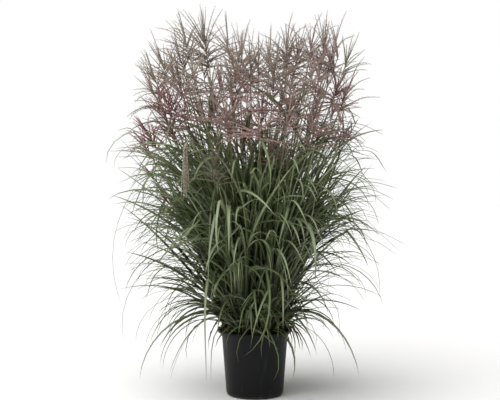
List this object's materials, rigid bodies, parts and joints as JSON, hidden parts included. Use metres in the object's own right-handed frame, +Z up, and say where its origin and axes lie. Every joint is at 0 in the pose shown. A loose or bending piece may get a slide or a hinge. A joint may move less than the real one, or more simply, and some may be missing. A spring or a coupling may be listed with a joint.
{
  "type": "potted ornamental grass",
  "caption": "Clump of Chinese silver grass in flower, with arching narrow leaves and feathery plumes on tall stems, in a round black growing container.",
  "frame": {"origin": "centre of the container's underside, on the ground", "axes": "+Z up, -Y towards the viewer of the picture, +X to the viewer's right"},
  "size_m": [0.8834, 0.9469, 1.1576],
  "materials": {
    "container": "black moulded plastic, satin, slightly scuffed",
    "potting_soil": "dark peat and bark with dry leaf litter",
    "foliage": "matt grass green with a pale midrib",
    "panicle": "silky, silver beige when ripe and dusky red when young"
  },
  "bodies": {
    "root": {"pot": "container", "soil": "potting_soil", "tuft_01": "foliage", "tuft_02": "foliage", "tuft_03": "foliage", "tuft_04": "foliage", "tuft_05": "foliage", "tuft_06": "foliage", "tuft_07": "foliage", "tuft_08": "foliage", "tuft_09": "foliage", "tuft_10": "foliage", "tuft_11": "foliage", "panicle_01": "panicle", "panicle_02": "panicle", "panicle_03": "panicle", "panicle_04": "panicle", "panicle_05": "panicle", "panicle_06": "panicle", "panicle_07": "panicle", "panicle_08": "panicle", "panicle_09": "panicle", "panicle_10": "panicle", "panicle_11": "panicle", "panicle_12": "panicle", "panicle_13": "panicle", "panicle_14": "panicle", "panicle_15": "panicle", "panicle_16": "panicle", "panicle_17": "panicle", "panicle_18": "panicle", "panicle_19": "panicle", "panicle_20": "panicle", "panicle_21": "panicle", "panicle_22": "panicle", "panicle_23": "panicle", "panicle_24": "panicle", "panicle_25": "panicle", "panicle_26": "panicle", "panicle_27": "panicle", "panicle_28": "panicle", "panicle_29": "panicle", "panicle_30": "panicle", "panicle_31": "panicle", "panicle_32": "panicle", "panicle_33": "panicle"}
  },
  "joints": []
}
